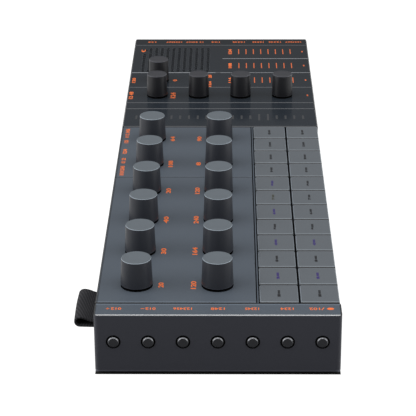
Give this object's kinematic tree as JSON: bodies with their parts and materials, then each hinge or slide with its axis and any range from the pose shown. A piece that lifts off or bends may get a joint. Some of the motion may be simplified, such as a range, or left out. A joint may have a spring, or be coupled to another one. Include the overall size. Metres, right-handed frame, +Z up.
{
  "type": "drum machine",
  "caption": "Flat desktop drum machine with rows of step keys, tall track knobs, a glossy effect panel with small knobs and a speaker grille, end buttons and a side strap.",
  "frame": {"origin": "on the table, under the middle of the box that holds the machine and its strap", "axes": "+X from the left end to the right end, +Y from the player's side to the back, +Z up from the table"},
  "size_m": [0.3444, 0.1058, 0.0385],
  "materials": {
    "case": "matte powder coat",
    "cover": "matte",
    "glossy_panel": "glossy",
    "key_grey": "satin",
    "knob_grey": "satin",
    "knob_black": "satin",
    "dark_plastic": "satin",
    "board": "satin",
    "battery_wrap": "satin",
    "foot_rubber": "matte",
    "screw_steel": "dark",
    "webbing": "woven"
  },
  "bodies": {
    "body": {"top_case": "case", "bottom_cover": "cover", "track_panel": "case", "effect_panel": "glossy_panel", "circuit_board": "board", "battery": "battery_wrap", "speaker": "dark_plastic", "strap": "webbing", "feet": "foot_rubber", "cover_screws": "screw_steel"},
    "track_knob_1": {"track_knob_1": "knob_grey"},
    "track_knob_2": {"track_knob_2": "knob_grey"},
    "track_knob_3": {"track_knob_3": "knob_grey"},
    "track_knob_4": {"track_knob_4": "knob_grey"},
    "track_knob_5": {"track_knob_5": "knob_grey"},
    "track_knob_6": {"track_knob_6": "knob_grey"},
    "track_knob_7": {"track_knob_7": "knob_grey"},
    "track_knob_8": {"track_knob_8": "knob_grey"},
    "track_knob_9": {"track_knob_9": "knob_grey"},
    "track_knob_10": {"track_knob_10": "knob_grey"},
    "track_knob_11": {"track_knob_11": "knob_grey"},
    "track_knob_12": {"track_knob_12": "knob_grey"},
    "effect_knob_1": {"effect_knob_1": "knob_black"},
    "effect_knob_2": {"effect_knob_2": "knob_black"},
    "effect_knob_3": {"effect_knob_3": "knob_black"},
    "effect_knob_4": {"effect_knob_4": "knob_black"},
    "effect_knob_5": {"effect_knob_5": "knob_black"},
    "step_key_1": {"step_key_1": "key_grey"},
    "step_key_2": {"step_key_2": "key_grey"},
    "step_key_3": {"step_key_3": "key_grey"},
    "step_key_4": {"step_key_4": "key_grey"},
    "step_key_5": {"step_key_5": "key_grey"},
    "step_key_6": {"step_key_6": "key_grey"},
    "step_key_7": {"step_key_7": "key_grey"},
    "step_key_8": {"step_key_8": "key_grey"},
    "step_key_9": {"step_key_9": "key_grey"},
    "step_key_10": {"step_key_10": "key_grey"},
    "step_key_11": {"step_key_11": "key_grey"},
    "step_key_12": {"step_key_12": "key_grey"},
    "step_key_13": {"step_key_13": "key_grey"},
    "step_key_14": {"step_key_14": "key_grey"},
    "step_key_15": {"step_key_15": "key_grey"},
    "step_key_16": {"step_key_16": "key_grey"},
    "step_key_17": {"step_key_17": "key_grey"},
    "step_key_18": {"step_key_18": "key_grey"},
    "step_key_19": {"step_key_19": "key_grey"},
    "step_key_20": {"step_key_20": "key_grey"},
    "step_key_21": {"step_key_21": "key_grey"},
    "step_key_22": {"step_key_22": "key_grey"},
    "step_key_23": {"step_key_23": "key_grey"},
    "step_key_24": {"step_key_24": "key_grey"},
    "volume_up_button": {"volume_up_button": "dark_plastic"},
    "volume_down_button": {"volume_down_button": "dark_plastic"},
    "delete_button": {"delete_button": "dark_plastic"},
    "mute_button": {"mute_button": "dark_plastic"},
    "solo_button": {"solo_button": "dark_plastic"},
    "page_button": {"page_button": "dark_plastic"},
    "play_button": {"play_button": "dark_plastic"},
    "right_end_buttons": {"right_end_buttons": "dark_plastic"},
    "power_switch": {"power_switch": "dark_plastic"}
  },
  "joints": [
    {"name": "track_knob_1_turn", "type": "hinge", "parent": "body", "child": "track_knob_1", "pos_m": [-0.14505, 0.02835, 0.0262], "axis": [0, 0, 1], "continuous": true},
    {"name": "track_knob_2_turn", "type": "hinge", "parent": "body", "child": "track_knob_2", "pos_m": [-0.11275, 0.02835, 0.0262], "axis": [0, 0, 1], "continuous": true},
    {"name": "track_knob_3_turn", "type": "hinge", "parent": "body", "child": "track_knob_3", "pos_m": [-0.08045, 0.02835, 0.0262], "axis": [0, 0, 1], "continuous": true},
    {"name": "track_knob_4_turn", "type": "hinge", "parent": "body", "child": "track_knob_4", "pos_m": [-0.04815, 0.02835, 0.0262], "axis": [0, 0, 1], "continuous": true},
    {"name": "track_knob_5_turn", "type": "hinge", "parent": "body", "child": "track_knob_5", "pos_m": [-0.01585, 0.02835, 0.0262], "axis": [0, 0, 1], "continuous": true},
    {"name": "track_knob_6_turn", "type": "hinge", "parent": "body", "child": "track_knob_6", "pos_m": [0.01645, 0.02835, 0.0262], "axis": [0, 0, 1], "continuous": true},
    {"name": "track_knob_7_turn", "type": "hinge", "parent": "body", "child": "track_knob_7", "pos_m": [-0.14505, -0.00415, 0.0262], "axis": [0, 0, 1], "continuous": true},
    {"name": "track_knob_8_turn", "type": "hinge", "parent": "body", "child": "track_knob_8", "pos_m": [-0.11275, -0.00415, 0.0262], "axis": [0, 0, 1], "continuous": true},
    {"name": "track_knob_9_turn", "type": "hinge", "parent": "body", "child": "track_knob_9", "pos_m": [-0.08045, -0.00415, 0.0262], "axis": [0, 0, 1], "continuous": true},
    {"name": "track_knob_10_turn", "type": "hinge", "parent": "body", "child": "track_knob_10", "pos_m": [-0.04815, -0.00415, 0.0262], "axis": [0, 0, 1], "continuous": true},
    {"name": "track_knob_11_turn", "type": "hinge", "parent": "body", "child": "track_knob_11", "pos_m": [-0.01585, -0.00415, 0.0262], "axis": [0, 0, 1], "continuous": true},
    {"name": "track_knob_12_turn", "type": "hinge", "parent": "body", "child": "track_knob_12", "pos_m": [0.01645, -0.00415, 0.0262], "axis": [0, 0, 1], "continuous": true},
    {"name": "effect_knob_1_turn", "type": "hinge", "parent": "body", "child": "effect_knob_1", "pos_m": [0.0776, 0.02835, 0.0262], "axis": [0, 0, 1], "continuous": true},
    {"name": "effect_knob_2_turn", "type": "hinge", "parent": "body", "child": "effect_knob_2", "pos_m": [0.0776, 0.00675, 0.0262], "axis": [0, 0, 1], "continuous": true},
    {"name": "effect_knob_3_turn", "type": "hinge", "parent": "body", "child": "effect_knob_3", "pos_m": [0.0776, -0.01485, 0.0262], "axis": [0, 0, 1], "continuous": true},
    {"name": "effect_knob_4_turn", "type": "hinge", "parent": "body", "child": "effect_knob_4", "pos_m": [0.0776, -0.03645, 0.0262], "axis": [0, 0, 1], "continuous": true},
    {"name": "effect_knob_5_turn", "type": "hinge", "parent": "body", "child": "effect_knob_5", "pos_m": [0.101, 0.02835, 0.0262], "axis": [0, 0, 1], "continuous": true},
    {"name": "step_key_1_press", "type": "slide", "parent": "body", "child": "step_key_1", "axis": [0, 0, -1], "range_m": [0, 0.0009], "stiffness_N_per_m": 500, "springref_m": -0.0008},
    {"name": "step_key_2_press", "type": "slide", "parent": "body", "child": "step_key_2", "axis": [0, 0, -1], "range_m": [0, 0.0009], "stiffness_N_per_m": 500, "springref_m": -0.0008},
    {"name": "step_key_3_press", "type": "slide", "parent": "body", "child": "step_key_3", "axis": [0, 0, -1], "range_m": [0, 0.0009], "stiffness_N_per_m": 500, "springref_m": -0.0008},
    {"name": "step_key_4_press", "type": "slide", "parent": "body", "child": "step_key_4", "axis": [0, 0, -1], "range_m": [0, 0.0009], "stiffness_N_per_m": 500, "springref_m": -0.0008},
    {"name": "step_key_5_press", "type": "slide", "parent": "body", "child": "step_key_5", "axis": [0, 0, -1], "range_m": [0, 0.0009], "stiffness_N_per_m": 500, "springref_m": -0.0008},
    {"name": "step_key_6_press", "type": "slide", "parent": "body", "child": "step_key_6", "axis": [0, 0, -1], "range_m": [0, 0.0009], "stiffness_N_per_m": 500, "springref_m": -0.0008},
    {"name": "step_key_7_press", "type": "slide", "parent": "body", "child": "step_key_7", "axis": [0, 0, -1], "range_m": [0, 0.0009], "stiffness_N_per_m": 500, "springref_m": -0.0008},
    {"name": "step_key_8_press", "type": "slide", "parent": "body", "child": "step_key_8", "axis": [0, 0, -1], "range_m": [0, 0.0009], "stiffness_N_per_m": 500, "springref_m": -0.0008},
    {"name": "step_key_9_press", "type": "slide", "parent": "body", "child": "step_key_9", "axis": [0, 0, -1], "range_m": [0, 0.0009], "stiffness_N_per_m": 500, "springref_m": -0.0008},
    {"name": "step_key_10_press", "type": "slide", "parent": "body", "child": "step_key_10", "axis": [0, 0, -1], "range_m": [0, 0.0009], "stiffness_N_per_m": 500, "springref_m": -0.0008},
    {"name": "step_key_11_press", "type": "slide", "parent": "body", "child": "step_key_11", "axis": [0, 0, -1], "range_m": [0, 0.0009], "stiffness_N_per_m": 500, "springref_m": -0.0008},
    {"name": "step_key_12_press", "type": "slide", "parent": "body", "child": "step_key_12", "axis": [0, 0, -1], "range_m": [0, 0.0009], "stiffness_N_per_m": 500, "springref_m": -0.0008},
    {"name": "step_key_13_press", "type": "slide", "parent": "body", "child": "step_key_13", "axis": [0, 0, -1], "range_m": [0, 0.0009], "stiffness_N_per_m": 500, "springref_m": -0.0008},
    {"name": "step_key_14_press", "type": "slide", "parent": "body", "child": "step_key_14", "axis": [0, 0, -1], "range_m": [0, 0.0009], "stiffness_N_per_m": 500, "springref_m": -0.0008},
    {"name": "step_key_15_press", "type": "slide", "parent": "body", "child": "step_key_15", "axis": [0, 0, -1], "range_m": [0, 0.0009], "stiffness_N_per_m": 500, "springref_m": -0.0008},
    {"name": "step_key_16_press", "type": "slide", "parent": "body", "child": "step_key_16", "axis": [0, 0, -1], "range_m": [0, 0.0009], "stiffness_N_per_m": 500, "springref_m": -0.0008},
    {"name": "step_key_17_press", "type": "slide", "parent": "body", "child": "step_key_17", "axis": [0, 0, -1], "range_m": [0, 0.0009], "stiffness_N_per_m": 500, "springref_m": -0.0008},
    {"name": "step_key_18_press", "type": "slide", "parent": "body", "child": "step_key_18", "axis": [0, 0, -1], "range_m": [0, 0.0009], "stiffness_N_per_m": 500, "springref_m": -0.0008},
    {"name": "step_key_19_press", "type": "slide", "parent": "body", "child": "step_key_19", "axis": [0, 0, -1], "range_m": [0, 0.0009], "stiffness_N_per_m": 500, "springref_m": -0.0008},
    {"name": "step_key_20_press", "type": "slide", "parent": "body", "child": "step_key_20", "axis": [0, 0, -1], "range_m": [0, 0.0009], "stiffness_N_per_m": 500, "springref_m": -0.0008},
    {"name": "step_key_21_press", "type": "slide", "parent": "body", "child": "step_key_21", "axis": [0, 0, -1], "range_m": [0, 0.0009], "stiffness_N_per_m": 500, "springref_m": -0.0008},
    {"name": "step_key_22_press", "type": "slide", "parent": "body", "child": "step_key_22", "axis": [0, 0, -1], "range_m": [0, 0.0009], "stiffness_N_per_m": 500, "springref_m": -0.0008},
    {"name": "step_key_23_press", "type": "slide", "parent": "body", "child": "step_key_23", "axis": [0, 0, -1], "range_m": [0, 0.0009], "stiffness_N_per_m": 500, "springref_m": -0.0008},
    {"name": "step_key_24_press", "type": "slide", "parent": "body", "child": "step_key_24", "axis": [0, 0, -1], "range_m": [0, 0.0009], "stiffness_N_per_m": 500, "springref_m": -0.0008},
    {"name": "volume_up_button_press", "type": "slide", "parent": "body", "child": "volume_up_button", "axis": [1, 0, 0], "range_m": [0, 0.0005], "stiffness_N_per_m": 1200, "springref_m": -0.0005},
    {"name": "volume_down_button_press", "type": "slide", "parent": "body", "child": "volume_down_button", "axis": [1, 0, 0], "range_m": [0, 0.0005], "stiffness_N_per_m": 1200, "springref_m": -0.0005},
    {"name": "delete_button_press", "type": "slide", "parent": "body", "child": "delete_button", "axis": [1, 0, 0], "range_m": [0, 0.0005], "stiffness_N_per_m": 1200, "springref_m": -0.0005},
    {"name": "mute_button_press", "type": "slide", "parent": "body", "child": "mute_button", "axis": [1, 0, 0], "range_m": [0, 0.0005], "stiffness_N_per_m": 1200, "springref_m": -0.0005},
    {"name": "solo_button_press", "type": "slide", "parent": "body", "child": "solo_button", "axis": [1, 0, 0], "range_m": [0, 0.0005], "stiffness_N_per_m": 1200, "springref_m": -0.0005},
    {"name": "page_button_press", "type": "slide", "parent": "body", "child": "page_button", "axis": [1, 0, 0], "range_m": [0, 0.0005], "stiffness_N_per_m": 1200, "springref_m": -0.0005},
    {"name": "play_button_press", "type": "slide", "parent": "body", "child": "play_button", "axis": [1, 0, 0], "range_m": [0, 0.0005], "stiffness_N_per_m": 1200, "springref_m": -0.0005},
    {"name": "right_end_buttons_press", "type": "slide", "parent": "body", "child": "right_end_buttons", "axis": [-1, 0, 0], "range_m": [0, 0.0005], "stiffness_N_per_m": 2400, "springref_m": -0.0005},
    {"name": "power_switch_slide", "type": "slide", "parent": "body", "child": "power_switch", "axis": [1, 0, 0], "range_m": [0, 0.002]}
  ]
}
